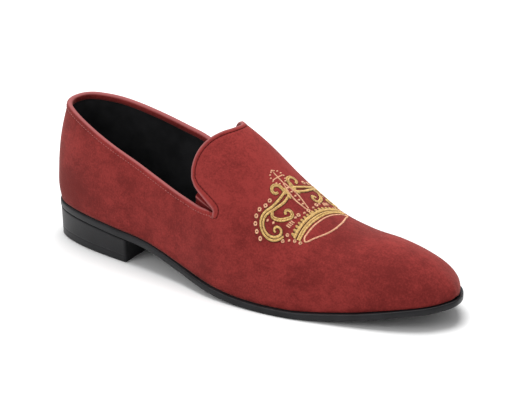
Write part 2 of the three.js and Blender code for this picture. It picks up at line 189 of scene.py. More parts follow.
lamp("overhead_lamp", 1.3, 26, (-0.2, 0.25, 1.5))
lamp("camera_side_lamp", 1.0, 7.5, (-0.55, -1.5, 1.1))

room = bpy.data.worlds.new("room")
room.use_nodes = True
room_light = room.node_tree.nodes["Background"].inputs
room_light["Color"].default_value = (1, 1, 1, 1)
room_light["Strength"].default_value = ROOM_LIGHT
bpy.context.scene.world = room
bpy.context.scene.view_settings.view_transform = "Standard"

# ----------------------------------------
# Outsole: one layer of sole leather under the whole shoe, its edge trimmed, burnished and blacked.
# It is glued and stitched to the upper's turned-in edge.

MM = 0.001  # tables and sizes of the shoe are in millimetres, x from the back of the heel
LATERAL = -1
MEDIAL = 1
SIDES = {LATERAL: "lateral", MEDIAL: "medial"}
SOLE_EDGE_ROUND = 1.1


def table(columns, *rows):
    return dict(zip(columns.split(), np.array(rows, float).T))


def blend(start, end, share):
    return start + (end - start) * share


# Half widths from the straight line between heel and toe, and the ledge left outside the upper.
OUTLINE = table(
    "x lateral medial ledge",
    (0, 0, 0, 1),
    (6, 15.7, 14.5, 1),
    (20, 24.2, 24, 1.2),
    (40, 30, 30.8, 1.4),
    (65, 33.8, 34, 1.6),
    (90, 36.4, 33, 1.8),
    (120, 42, 30, 2.2),
    (150, 50, 32, 2.8),
    (180, 52, 39.5, 3),
    (205, 50, 46.5, 3),
    (230, 43.8, 47.5, 3),
    (255, 36, 40.5, 3),
    (275, 28, 32, 2.6),
    (290, 18, 22, 2.2),
    (297, 8.5, 11.5, 2.3),
    (300, 0, 0, 2.4),
)
SOLE = table(
    "x under thickness",
    (0, 20.8, 4.8),
    (60, 17.2, 4.8),
    (90, 14.6, 4.6),
    (130, 6, 4.4),
    (165, 1, 4.3),
    (185, 0, 4.3),
    (208, 0, 4.3),
    (240, 3, 4.3),
    (275, 8.8, 4.3),
    (300, 13.5, 4.3),
)

sole_low, sole_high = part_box("outsole")
LENGTH = (sole_high.x - sole_low.x) / MM


def station_at(x):
    """Stations run along the shoe as an angle, 0 at the back of the heel and pi at the tip of the toe."""
    return np.arccos(np.clip(1 - 2 * np.asarray(x, float) / LENGTH, -1, 1))


def curve_through(knots, values):
    """A smooth curve through a column of a table."""
    spans = np.diff(knots)
    rates = np.diff(values) / spans
    inner = (rates[:-1] * spans[1:] + rates[1:] * spans[:-1]) / (spans[1:] + spans[:-1])
    slopes = np.concatenate([rates[:1], inner, rates[-1:]])

    def at(argument):
        a = np.clip(argument, knots[0], knots[-1])
        i = np.clip(np.searchsorted(knots, a, side="right") - 1, 0, len(spans) - 1)
        t = (a - knots[i]) / spans[i]
        bend = t * t * (3 - 2 * t)
        leave = t * (1 - t) ** 2 * spans[i] * slopes[i]
        arrive = t * t * (1 - t) * spans[i] * slopes[i + 1]
        return blend(values[i], values[i + 1], bend) + leave - arrive

    return at


def along_shoe(rows, column):
    return curve_through(station_at(rows["x"]), rows[column])


def on_each_side(rows, kind=""):
    """A curve along the shoe for each side, from the columns named for the sides."""
    return {side: along_shoe(rows, name + kind) for side, name in SIDES.items()}


half_width = on_each_side(OUTLINE)
sole_curve = along_shoe(SOLE, "under")
sole_thickness = along_shoe(SOLE, "thickness")


def sole_under(u):
    return np.maximum(sole_curve(u), 0)


def sole_top(u):
    return sole_under(u) + sole_thickness(u)


def sole_plan(u, side, inset):
    """x and y of the sole's outline, moved in square to the edge by inset."""
    u = np.asarray(u, float)
    step = 1e-3
    before = np.maximum(u - step, 0)
    after = np.minimum(u + step, math.pi)
    along_x = LENGTH / 2 * (np.cos(before) - np.cos(after))
    along_y = half_width[side](after) - half_width[side](before)
    reach = np.hypot(along_x, along_y)
    x = LENGTH / 2 * (1 - np.cos(u)) + inset * along_y / reach
    y = np.maximum(half_width[side](u) - inset * along_x / reach, 0)
    x = np.where(u <= 0, inset, np.where(u >= math.pi, LENGTH - inset, x))
    y = np.where((u <= 0) | (u >= math.pi), 0, y)
    return x, side * y


all_stations = np.linspace(0, math.pi, 401)
lateral_reach = sole_plan(all_stations, LATERAL, 0)[1].min()
medial_reach = sole_plan(all_stations, MEDIAL, 0)[1].max()
HEEL_BACK = np.array([sole_low.x / MM, -(lateral_reach + medial_reach) / 2, 0])


class Mesh:
    """Collects grids of points in the shoe's millimetres and makes one object of them."""

    def __init__(self):
        self.points = []
        self.faces = []
        self.marks = {}

    def grid(self, points, turned=False, round_off=False, **marks):
        """Joins neighbouring rows of points; turned flips the faces, and round_off joins last to first."""
        start = sum(len(block) for block in self.points)
        rows, columns = points.shape[:2]
        self.points.append(points.reshape(-1, 3))
        for name, values in marks.items():
            full = np.broadcast_to(values, (rows, columns)).reshape(-1)
            self.marks.setdefault(name, []).append(full)
        number = start + np.arange(rows * columns).reshape(rows, columns)
        if round_off:
            number = np.concatenate([number, number[:, :1]], axis=1)
        corners = [number[:-1, :-1], number[1:, :-1], number[1:, 1:], number[:-1, 1:]]
        faces = np.stack([corner.reshape(-1) for corner in corners], axis=1)
        self.faces.append(faces[:, ::-1] if turned else faces)

    def merged(self):
        """Points, faces and marks with the points that lie together made one."""
        points = np.concatenate(self.points)
        faces = np.concatenate(self.faces)
        keys = np.round(points * 2000).astype(np.int64)
        _, first, same = np.unique(keys, axis=0, return_index=True, return_inverse=True)
        same = same.reshape(-1)
        marks = {name: np.concatenate(values)[first] for name, values in self.marks.items()}
        return points[first], same[faces], marks

    def make(self, name, surface, slot, replaces=()):
        return make_piece(name, *self.merged(), surface, slot, replaces)


def make_piece(name, points, faces, marks, surface, slot, replaces=()):
    """Makes an object of the shoe from points in millimetres and quads that may have closed up."""
    placed = (points + HEEL_BACK) * MM
    lists = []
    for face in faces.tolist():
        corners = [corner for i, corner in enumerate(face) if corner != face[i - 1]]
        if len(set(corners)) >= 3:
            lists.append(corners)
    mesh = bpy.data.meshes.new(name)
    mesh.from_pydata(placed.tolist(), [], lists)
    for mark, values in marks.items():
        layer = mesh.attributes.new(mark, "FLOAT", "POINT")
        layer.data.foreach_set("value", values.astype(np.float32))
    mesh.polygons.foreach_set("use_smooth", [True] * len(mesh.polygons))
    mesh.materials.append(surface)
    piece = bpy.data.objects.new(name, mesh)
    bpy.context.scene.collection.objects.link(piece)
    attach(piece, "root")
    if replaces:
        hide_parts(*replaces)
    return piece


def slab(mesh, stations, across, levels, moved=lambda x, y, u: x):
    """Rings round the sole's section: levels run from bottom to top, each with an inset and a height. moved
    says where a point's x comes to lie."""
    shares = np.linspace(0, 1, across + 1)

    def strip(level, share):
        inset, height = levels[level]
        lateral_x, lateral_y = sole_plan(stations, LATERAL, inset(stations))
        medial_x, medial_y = sole_plan(stations, MEDIAL, inset(stations))
        y = blend(lateral_y, medial_y, share)
        x = moved(blend(lateral_x, medial_x, share), y, stations)
        return np.stack([x, y, height(station_at(x))], axis=-1)

    last = len(levels) - 1
    ring = [strip(level, 0) for level in range(last + 1)]
    ring += [strip(last, share) for share in shares[1:]]
    ring += [strip(last - level, 1) for level in range(1, last + 1)]
    ring += [strip(0, 1 - share) for share in shares[1:]]
    mesh.grid(np.stack(ring, axis=1))
    return strip, shares


def even(inset):
    return lambda u: np.full_like(np.asarray(u, float), inset)


EDGE_STEPS = 4


def quarter_round(radius, heights):
    """Levels that round a slab's lower and upper edge by radius."""
    low, high = heights
    turns = np.linspace(0, math.pi / 2, EDGE_STEPS + 1)
    bends = [(radius * (1 - math.sin(turn)), radius * (1 - math.cos(turn))) for turn in turns]
    levels = [(even(inset), lambda u, rise=rise: low(u) + rise) for inset, rise in bends]
    return levels + [(even(inset), lambda u, rise=rise: high(u) - rise) for inset, rise in bends[::-1]]


def blacked_leather(name, colour, roughness):
    made, place, shader = material(name)
    grain = place.noise(0.0006, 4)
    cloud = place.noise(0.012, 3)
    darker = tuple(0.55 * part for part in colour[:3]) + (1,)
    shade = cloud.step(0.3, 0.7).between(darker, colour)
    varying = {
        "Base Color": shade,
        "Roughness": roughness + 0.16 * (cloud - 0.5) + 0.1 * (grain - 0.5),
        "Normal": place.bump(0.00006 * grain + 0.00012 * cloud, 0.6),
    }
    finish_surface(shader, varying, {"Specular IOR Level": 0.2, "Coat Weight": 0.03, "Coat Roughness": 0.25})
    return made


CHANNEL_INSET = 5  # the stitching's channel, cut into the tread
CHANNEL_HALF = 0.4
CHANNEL_DEPTH = 0.35

edge_black = blacked_leather("edge_black", (0.013, 0.013, 0.015, 1), 0.42)
outsole = Mesh()
channel = [
    (even(CHANNEL_INSET + CHANNEL_HALF), sole_under),
    (even(CHANNEL_INSET), lambda u: sole_under(u) + CHANNEL_DEPTH),
    (even(CHANNEL_INSET - CHANNEL_HALF), sole_under),
]
edge_levels = quarter_round(SOLE_EDGE_ROUND, (sole_under, sole_top))
slab(outsole, np.linspace(0, math.pi, 221), 12, channel + edge_levels)
outsole.make("outsole_leather", edge_black, "sole_leather", ["outsole"])

# ----------------------------------------
# Heel: lifts of stacked leather, trimmed together, blacked and nailed under the heel seat, with a rubber
# top piece that meets the floor.

HEEL_TAPER = 1.0
HEEL_TOP_INSET = 0.4
HEEL_FOOT_ROUND = 0.5
HEEL_BREAST = 73
BREAST_HOLLOW = 2
SEAM_GAP = 0.3

breast_station = station_at(HEEL_BREAST)


def hollow_breast(x, y, u):
    half = np.where(y < 0, half_width[LATERAL](breast_station), half_width[MEDIAL](breast_station))
    return np.where(u < breast_station, x, HEEL_BREAST - BREAST_HOLLOW * (1 - (y / half) ** 2))


def heel_share(share):
    """Inset and height of the heel's side, from the floor to the seat."""
    inset = even(blend(HEEL_TAPER, HEEL_TOP_INSET, share))
    return inset, lambda u: blend(HEEL_FOOT_ROUND, sole_under(u) - SEAM_GAP, share)


TOP_PIECE = 0.27  # share of the heel's height that is rubber
SEAM_SHARE = 0.012  # and half of the groove above the rubber
SEAM_DEPTH = 0.18


def heel_seam(share):
    inset, height = heel_share(share)
    return (lambda u: inset(u) + SEAM_DEPTH), height


heel = Mesh()
heel_levels = [(even(HEEL_TAPER + HEEL_FOOT_ROUND), even(0))]
heel_levels += [heel_share(share) for share in np.linspace(0, TOP_PIECE - SEAM_SHARE, 5)]
heel_levels += [heel_seam(TOP_PIECE)]
heel_levels += [heel_share(share) for share in np.linspace(TOP_PIECE + SEAM_SHARE, 1, 11)]
heel_strip, heel_shares = slab(heel, np.linspace(0, breast_station, 70), 16, heel_levels, hollow_breast)
breast = [
    np.stack([heel_strip(level, share)[-1] for share in heel_shares]) for level in range(len(heel_levels))
]
heel.grid(np.stack(breast), turned=True)
heel.make("heel_stack", edge_black, "sole_leather", ["heel"])

# ----------------------------------------
# Sock lining: the inner sole that the foot stands on, thin black leather over a board. It is glued in over
# the whole inside of the sole.

WALL = 2.2
INSOLE_THICKNESS = 2.2
INSOLE_CLEARANCE = 0.5
INSOLE_BEVEL = 0.5

ledge = along_shoe(OUTLINE, "ledge")


def inside_wall(u):
    return ledge(u) + WALL + INSOLE_CLEARANCE


def insole_foot(u):
    return sole_top(u) + SEAM_GAP


lining_black = blacked_leather("lining_black", (0.027, 0.027, 0.029, 1), 0.6)
insole = Mesh()
insole_levels = [
    (inside_wall, insole_foot),
    (inside_wall, lambda u: insole_foot(u) + INSOLE_THICKNESS - INSOLE_BEVEL),
    (lambda u: inside_wall(u) + INSOLE_BEVEL, lambda u: insole_foot(u) + INSOLE_THICKNESS),
]
slab(insole, np.linspace(0, math.pi, 161), 24, insole_levels)
insole.make("sock_lining", lining_black, "lining", ["insole"])

# ----------------------------------------
# Upper: one piece of red suede, closed at the heel and drawn over the last, with the tab's edge folded in
# and sewn down along a border. The grid follows the folded edge, so that the border keeps its width.

LAST = table(
    "x ridge sweep side lateral_lean lateral_flat medial_lean medial_flat",
    (0, 120, 0, 0.55, 0.05, 0.6, 0.05, 0.6),
    (60, 119, 0, 0.5, 0.06, 0.62, 0.08, 0.62),
    (100, 110, 0, 0.5, 0.06, 0.62, 0.2, 0.65),
    (125, 102.8, 0, 0.5, 0.05, 0.6, 0.22, 0.66),
    (150, 90.7, 0, 0.5, 0.04, 0.6, 0.2, 0.66),
    (175, 71.9, 0, 0.5, 0.04, 0.6, 0.15, 0.64),
    (200, 53, 0, 0.5, 0.04, 0.6, 0.09, 0.62),
    (225, 44.4, 1, 0.5, 0.04, 0.6, 0.07, 0.6),
    (250, 43.1, 4, 0.5, 0.05, 0.6, 0.06, 0.6),
    (275, 38.8, 10, 0.52, 0.06, 0.62, 0.06, 0.62),
    (290, 34.2, 17, 0.55, 0.08, 0.64, 0.08, 0.64),
    (300, 31, 24, 0.55, 0.08, 0.64, 0.08, 0.64),
)
BACK_CURVE = table("height inset", (0, 0.8), (7, -0.8), (22, -0.7), (45, 1.6), (70, 7.7), (110, 18.5))
NOTCH = 145.5
COLLAR = table(
    "x lateral medial",
    (0, 92.4, 92.4),
    (12, 89.7, 93.5),
    (30, 84.6, 91),
    (44, 80.2, 87.6),
    (60, 75.2, 83.2),
    (77, 70.2, 78.6),
    (95, 64.2, 74),
    (120, 56.7, 63),
    (135, 53.8, 56.4),
    (NOTCH, 53.5, 53.8),
)
# rise is 0 at the feather line, 1 at the notch and 2 on the ridge.
NOTCH_FOOT = 152
TAB_EDGE = table(
    "rise x",
    (1, NOTCH),
    (1.01, 145.3),
    (1.02, 144.4),
    (1.04, 137),
    (1.06, 130),
    (1.1, 124.3),
    (1.16, 121.4),
    (1.25, 120),
    (1.38, 120.5),
    (1.54, 123.7),
    (1.72, 129),
    (1.86, 132.9),
    (2, 134.4),
    (2.14, 132.9),
)
# Width of the sewn border: widest in front of the notch, and it runs out a little below the notch.
BORDER = table(
    "rise width",
    (0, 0.6),
    (0.93, 0.6),
    (0.945, 2),
    (0.97, 3.8),
    (1, 4.8),
    (1.03, 4.8),
    (1.07, 3.8),
    (1.12, 3.3),
    (2, 3.3),
)
SUEDE_THICKNESS = 1.2

ridge = along_shoe(LAST, "ridge")
sweep = curve_through(LAST["x"], LAST["sweep"])
straight = along_shoe(LAST, "side")
lean = on_each_side(LAST, "_lean")
flat_top = on_each_side(LAST, "_flat")
collar_height = on_each_side(COLLAR)
back_inset = curve_through(BACK_CURVE["height"], BACK_CURVE["inset"])
tab_x = curve_through(TAB_EDGE["rise"], TAB_EDGE["x"])
notch_station = station_at(NOTCH)


def edge_x(rise):
    """The line that starts the vamp: straight up the side to the notch, then the edge of the tab."""
    return np.where(rise < 1, blend(NOTCH, NOTCH_FOOT, 1 - rise), tab_x(rise))


def border_width(rise):
    return np.interp(rise, BORDER["rise"], BORDER["width"])


def last_point(u, v, side):
    """A point of the last: u along the shoe, v up the half section from the feather line to the ridge, where
    the two sides meet."""
    foot_x, y = sole_plan(u, side, ledge(u))
    other_foot_x, _ = sole_plan(u, -side, ledge(u))
    foot = sole_top(u) + SEAM_GAP
    rest = 1 - v
    swell = 3 * v * rest**2
    turn = 3 * v**2 * rest
    breadth = rest**3 + (1 + lean[side](u)) * swell + flat_top[side](u) * turn
    station = LENGTH / 2 * (1 - np.cos(u))
    behind = sweep(station) * (1 - breadth)
    top = ridge(station_at(station - behind))
    up = (top - foot) * (straight(u) * swell + turn + v**3)
    x = blend(foot_x, other_foot_x, (1 - breadth) / 2)
    back = (back_inset(up) - back_inset(0)) * (1 + np.cos(u)) / 2
    return np.stack([x + back - behind, y * breadth, foot + up], axis=-1)


def unit(vectors):
    return vectors / np.maximum(np.linalg.norm(vectors, axis=-1, keepdims=True), 1e-12)


def last_normal(u, v, side):
    u, v = np.broadcast_arrays(np.asarray(u, float), np.asarray(v, float))
    step = 1e-3
    front, back = np.minimum(u + step, math.pi), np.maximum(u - step, 0)
    high, low = np.minimum(v + step, 1), np.maximum(v - step, 0)
    along = last_point(front, v, side) - last_point(back, v, side)
    up = last_point(u, high, side) - last_point(u, low, side)
    normal = -side * np.cross(along, up)
    normal[..., 1] = np.where((u <= 0) | (u >= math.pi) | (v >= 1), 0, normal[..., 1])
    return unit(normal)


def share_at_height(u, height, side):
    low, high = np.zeros_like(u, dtype=float), np.ones_like(u, dtype=float)
    for _ in range(40):
        middle = (low + high) / 2
        below = last_point(u, middle, side)[..., 2] < height
        low, high = np.where(below, middle, low), np.where(below, high, middle)
    return low


def collar_share(u, side):
    return share_at_height(u, collar_height[side](u), side)


notch_share = {side: float(collar_share(notch_station, side)) for side in SIDES}


def share_at_rise(rise, side):
    notch = notch_share[side]
    return np.where(rise < 1, notch * rise, blend(notch, 1, rise - 1))


# Where the edge of the tab turns round the end of the notch.
TURN_START = 0.97
TURN_END = 1.03


def beside_tab_edge(rise, width, side):
    """A place on the last, width in from the edge of the tab and square to it, or straight towards the toe
    low down on the side, where there is no edge."""
    rise, width = np.broadcast_arrays(np.asarray(rise, float), np.asarray(width, float))
    u, v = station_at(edge_x(rise)), share_at_rise(rise, side)
    step = 1e-3
    ahead, below = np.minimum(v + step, 1), np.maximum(v - step, 0)
    by_u = (last_point(u + step, v, side) - last_point(u - step, v, side)) / (2 * step)
    by_v = (last_point(u, ahead, side) - last_point(u, below, side)) / (ahead - below)[..., None]
    later, sooner = np.clip(rise + step, TURN_END, 2), np.maximum(rise, TURN_END) - step
    along = last_point(station_at(edge_x(later)), share_at_rise(later, side), side)
    along = along - last_point(station_at(edge_x(sooner)), share_at_rise(sooner, side), side)
    square = -side * unit(np.cross(along, last_normal(u, v, side)))
    turn = np.clip((rise - TURN_START) / (TURN_END - TURN_START), 0, 1)[..., None] * math.pi / 2
    inwards = width[..., None] * unit(np.cos(turn) * unit(by_u) + np.sin(turn) * square)
    a, b, c = (by_u * by_u).sum(-1), (by_u * by_v).sum(-1), (by_v * by_v).sum(-1)
    p, q = (inwards * by_u).sum(-1), (inwards * by_v).sum(-1)
    divisor = a * c - b * b
    on_ridge = rise == 2
    move_u = np.where(on_ridge, width / np.sqrt(a), (p * c - q * b) / divisor)
    return u + move_u, np.where(on_ridge, 1, np.clip(v + (q * a - p * b) / divisor, 0, 1))


def spaced(*stops):
    """Numbers through the stops, each one a pair of its value and the steps up to it."""
    values = [stops[0][0]]
    for (start, _), (end, steps) in zip(stops, stops[1:]):
        values += list(np.linspace(start, end, steps + 1)[1:])
    return np.array(values)


def joined(outer, inner, axis=0):
    """The outer half, then the inner half turned round, with the place where they meet only once."""
    return np.concatenate([outer, np.delete(np.flip(inner, axis), 0, axis)], axis)


def bell(value, middle, width):
    return np.exp(-(((value - middle) / width) ** 2))


def smooth_step(value, low, high):
    t = np.clip((value - low) / (high - low), 0, 1)
    return t * t * (3 - 2 * t)


# Rows from the feather line to the ridge, closest together round the end of the notch, and columns across
# the border, as shares of its width.
UPPER_RISES = spaced((0, 0), (0.9, 27), (0.98, 7), (1.03, 20), (1.1, 16), (1.3, 16), (2, 42))
NOTCH_ROW = int(np.argmin(abs(UPPER_RISES - 1)))
UPPER_RISES[NOTCH_ROW] = 1
QUARTER_RISES = UPPER_RISES[None, : NOTCH_ROW + 1]
BORDER_SHARES = spaced((0, 0), (0.24, 4), (0.8, 5), (1.2, 8), (1.5, 2))
QUARTER_COLUMNS = 92
FAN_COLUMNS = 112
NO_BORDER = 99  # stands for any distance from the tab's edge past the border
EDGE_SOFT = 0.9  # how far the folded edge is rounded
GROOVE_SOFT = 0.4


def fold_height(width, border):
    """How far the folded border stands up: a round edge, an even band and a groove along its seam."""
    edge = -0.85 * np.clip(1 - width / EDGE_SOFT, 0, 1) ** 2
    band = 0.22 * (1 - smooth_step(width, border - 0.2, border + 0.5))
    groove = -0.35 * bell(width, border, GROOVE_SOFT)
    roll = 0.12 * bell(width, 1, 0.5)
    return edge + band + groove + roll


def quarter_grid():
    """From the notch on the outer side, round the heel, to the notch on the inner side."""
    halves = []
    for side in SIDES:
        share = np.linspace(1, 0, QUARTER_COLUMNS + 1)[:, None]
        shift = (station_at(edge_x(QUARTER_RISES)) - notch_station) * share**3
        base = notch_station * share
        halves.append(last_point(base + shift, collar_share(base, side) * QUARTER_RISES, side))
    return joined(*halves)


def vamp_grid():
    """From the feather line on the outer side, over the ridge, to the inner side, and from the edge of the
    tab to the toe. Also the distance of each point from the edge, as far as the border reaches."""
    halves, widths = [], []
    for side in SIDES:
        rise = UPPER_RISES[None, :]
        width = BORDER_SHARES[:, None] * np.maximum(border_width(rise), 1.5)
        u, v = beside_tab_edge(rise, width, side)
        fan = np.linspace(0, 1, FAN_COLUMNS + 1)[1:, None]
        end_v = np.linspace(0, 1, len(UPPER_RISES))[None, :]
        fan_u, fan_v = blend(u[-1:], math.pi, fan), blend(v[-1:], end_v, fan)
        halves.append(last_point(np.concatenate([u, fan_u]), np.concatenate([v, fan_v]), side))
        widths.append(np.concatenate([width, np.full_like(fan_v, NO_BORDER)]))
    return joined(*halves, axis=1), joined(*widths, axis=1)


def upper_skin(first_column=0):
    """The skin of the last under the suede. width is the distance from the tab's edge."""
    mesh = Mesh()
    foot = (QUARTER_RISES == 0) * 1.0
    mesh.grid(quarter_grid(), True, width=NO_BORDER, rise=QUARTER_RISES, foot=foot)
    vamp, width = vamp_grid()
    rise = joined(UPPER_RISES, UPPER_RISES)[None, :]
    foot = (rise == 0) * 1.0
    mesh.grid(vamp[first_column:], False, width=width[first_column:], rise=rise, foot=foot)
    return mesh.merged()


def point_normals(points, faces, level=None):
    """The way out of a skin at each of its points, and straight sideways where its level is 1."""
    a, b, c, d = (points[corners] for corners in faces.T)
    across = np.cross(c - a, d - b)
    normals = np.zeros_like(points)
    for corners in faces.T:
        np.add.at(normals, corners, across)
    if level is not None:
        normals[level > 0.5, 2] = 0
    return unit(normals)


def layer(points, faces, out, outside, inside):
    """A closed layer between two distances from a skin, with a rim along the skin's free edges."""
    count = len(points)
    both = np.concatenate([points + out * outside, points + out * inside])
    edges = set()
    for face in faces.tolist():
        for a, b in zip(face, face[1:] + face[:1]):
            if a == b:
                continue
            if (b, a) in edges:
                edges.remove((b, a))
            else:
                edges.add((a, b))
    rim = np.array(sorted((b, a, a + count, b + count) for a, b in edges))
    return both, np.concatenate([faces, faces[:, ::-1] + count, rim])


# The edge colour is a painted highlight for cut and folded edges, and the seam colour is painted shade for
# the groove along a seam.
SUEDE_DEEP = (0.135, 0.0135, 0.0125, 1)
SUEDE_RED = (0.272, 0.0318, 0.0287, 1)
SUEDE_EDGE_LIGHT = (0.34, 0.115, 0.115, 1)
SUEDE_SEAM_SHADE = (0.075, 0.006, 0.006, 1)


def suede(name):
    """Brushed suede: soft clouds and strokes where its pile lies one way or the other, and fine fibres, with
    painted shade towards the back of the heel and painted light higher up. Its rim mark is 1 along cut and
    folded edges, which are lightened as a painted highlight, and its seam mark 1 where a seam presses it
    down into a groove, which is darkened there as painted shade."""
    made, place, shader = material(name)
    clouds = place.noise(0.03, 3, 0.5)
    strokes = place.stretched(0.5, 1, 0.7).noise(0.004, 4, 0.65)
    fibres = place.noise(0.0012, 3, 0.75)
    lie = 0.36 * clouds + 0.26 * strokes + 0.38 * fibres
    # Painted shade towards the back of the heel, and painted light higher up the shoe.
    heel_back_shade = 1 - place.along(0).step(-0.15, -0.08)
    top_light = place.along(2).step(0.03, 0.075)
    lie = lie - 0.09 * heel_back_shade + 0.06 * (top_light - 0.3)
    nap_and_light = lie.step(0.37, 0.63).between(SUEDE_DEEP, SUEDE_RED)
    # Painted highlight along cut and folded edges, where the rim mark is 1.
    lit_rim = (0.75 * place.mark("rim")).between(nap_and_light, SUEDE_EDGE_LIGHT)
    varying = {
        # Painted shade in the groove along the seam, where the seam mark is 1.
        "Base Color": (0.8 * place.mark("seam")).between(lit_rim, SUEDE_SEAM_SHADE),
        "Roughness": 0.9 + 0.12 * (fibres - 0.5),
        "Normal": place.bump(0.0002 * fibres + 0.0003 * strokes, 0.7),
    }
    fixed = {
        "Specular IOR Level": 0.1,
        "Sheen Weight": 0.2,
        "Sheen Roughness": 0.45,
        "Sheen Tint": (1, 0.5, 0.45, 1),
    }
    finish_surface(shader, varying, fixed)
    return made


suede_red = suede("suede_red")

skin_points, skin_faces, skin_marks = upper_skin()
skin_out = point_normals(skin_points, skin_faces, skin_marks["foot"])
skin_width, skin_rise = skin_marks["width"], skin_marks["rise"]
shown = smooth_step(skin_rise, 0.93, 0.98)
lift = fold_height(skin_width, border_width(skin_rise)) * shown
turned_in = (1 - smooth_step(skin_width, 2.5, 3.5)) * shown
edge_round = EDGE_SOFT * shown * np.clip(1 - skin_width / EDGE_SOFT, 0, 1) ** 2
drop = SUEDE_THICKNESS + (WALL - SUEDE_THICKNESS) * turned_in - edge_round
both, layer_faces = layer(skin_points, skin_faces, skin_out, lift[:, None], -drop[:, None])
# Painted highlight along the tab's folded edge (rim), and painted shade in the groove along its sewn border
# (seam).
rim = (1 - smooth_step(skin_width, EDGE_SOFT, 2.1)) * shown
seam = bell(skin_width, border_width(skin_rise), GROOVE_SOFT) * shown
marks = {"rim": np.tile(rim, 2), "seam": np.tile(seam, 2)}
make_piece("upper_suede", both, layer_faces, marks, suede_red, "suede", ["upper"])

# ----------------------------------------
# Upper lining: thin black leather, cut like the suede and cemented to its inside. It stops short of the
# tab's edge, where the suede is folded in over it.

LINING_START = 8

skin_points, skin_faces, skin_marks = upper_skin(LINING_START)
skin_out = point_normals(skin_points, skin_faces, skin_marks["foot"])
both, layer_faces = layer(skin_points, skin_faces, skin_out, -SUEDE_THICKNESS - 0.05, -WALL)
make_piece("upper_lining", both, layer_faces, {}, lining_black, "lining", ["upper"])

# ----------------------------------------
# Binding: a strip of the same suede, rolled over the quarters' top edge and stitched down. It runs round the
# heel from notch to notch, where its ends run out.

BINDING_THICKNESS = 0.8
BINDING_OUTSIDE = 2.9
BINDING_INSIDE = 3.6
BINDING_END = 1.2
BINDING_RUN_OUT = 6


def line_over_last(place_on):
    """A line from the outer side of the last to the inner side, and the way out of the last along it.
    place_on gives the line's u and v on a side."""
    return [joined(*[get(*place_on(side), side) for side in SIDES]) for get in (last_point, last_normal)]


end_station = station_at(NOTCH - BINDING_END)
binding_stations = np.linspace(end_station, 0, 171)
edge_line, edge_out = line_over_last(lambda side: (binding_stations, collar_share(binding_stations, side)))
edge_along = unit(np.gradient(edge_line, axis=0))
edge_down = unit(np.cross(edge_out, edge_along))

under = -WALL - SEAM_GAP
inmost = under - BINDING_THICKNESS
roll = np.linspace(0.1, math.pi - 0.1, 15)
roll_across = under / 2 - (WALL / 2 + BINDING_THICKNESS) * np.cos(roll)
# Across the wall (outwards), and down from the top edge.
binding_profile = [(0.05, BINDING_OUTSIDE), (0.1, BINDING_OUTSIDE - 0.7), (0.1, 0.4), (under / 2, 0.1)]
binding_profile += [(under, 0.5), (under, BINDING_INSIDE), (under - 0.4, BINDING_INSIDE + 0.1)]
binding_profile += [(inmost, BINDING_INSIDE - 0.4), (inmost, 1.4)]
binding_profile += zip(roll_across, 0.5 - 1.3 * np.sin(roll))
binding_profile += [(0.62, 1.0), (0.5, 1.6), (0.36, BINDING_OUTSIDE - 0.6), (0.2, BINDING_OUTSIDE - 0.1)]
across, drop = np.array(binding_profile).T[:, None, :, None]
reach = np.minimum(NOTCH - edge_line[:, 0], BINDING_RUN_OUT) / BINDING_RUN_OUT
full = (0.25 + 0.75 * smooth_step(reach, BINDING_END / BINDING_RUN_OUT, 1))[:, None, None]
across = np.where(across > 0, across * full, under / 2 + (across - under / 2) * full)
drop = np.where(drop < 0, drop * full, drop)
binding = Mesh()
sections = edge_line[:, None] + edge_out[:, None] * across + edge_down[:, None] * drop
middles = sections.mean(axis=1, keepdims=True)
capped = np.concatenate([middles[:1] + 0 * sections[:1], sections, middles[-1:] + 0 * sections[-1:]])
# Painted highlight: the rim mark lightens the rolled top of the binding.
crest_highlight = np.clip((0.2 - drop) / 0.8, 0, 1)[..., 0]
crest_highlight = np.concatenate([crest_highlight[:1], crest_highlight, crest_highlight[-1:]])
binding.grid(capped, round_off=True, rim=crest_highlight)
binding.make("topline_binding_suede", suede_red, "suede", ["topline_binding"])

# ----------------------------------------
# Seams: the binding's row of stitches in rose thread, which ends in a bar below the notch, and the rows in
# dark thread along the tab's border and on both sides of the closed seam at the back of the heel.

STITCH_PITCH = 2.3
STITCH_SHARE = 0.72
STITCH_RISE = 0.2
STITCH_SINK = 0.5
THREAD_RADIUS = 0.2
THREAD_CORNERS = 5
BOW = np.linspace(-1, 1, 6)  # along a thread, from end to end


def run_of(line):
    """The distance along a line to each of its points."""
    return np.concatenate([[0], np.cumsum(np.linalg.norm(np.diff(line, axis=0), axis=1))])


def at_run(at, run, line):
    """A line's values at distances along it."""
    return np.stack([np.interp(at, run, values) for values in line.T], axis=-1)


def every(pitch, run, least=1):
    """Distances about a pitch apart along a whole line, with at least so many steps."""
    return np.linspace(0, run[-1], max(int(run[-1] / pitch), least) + 1)


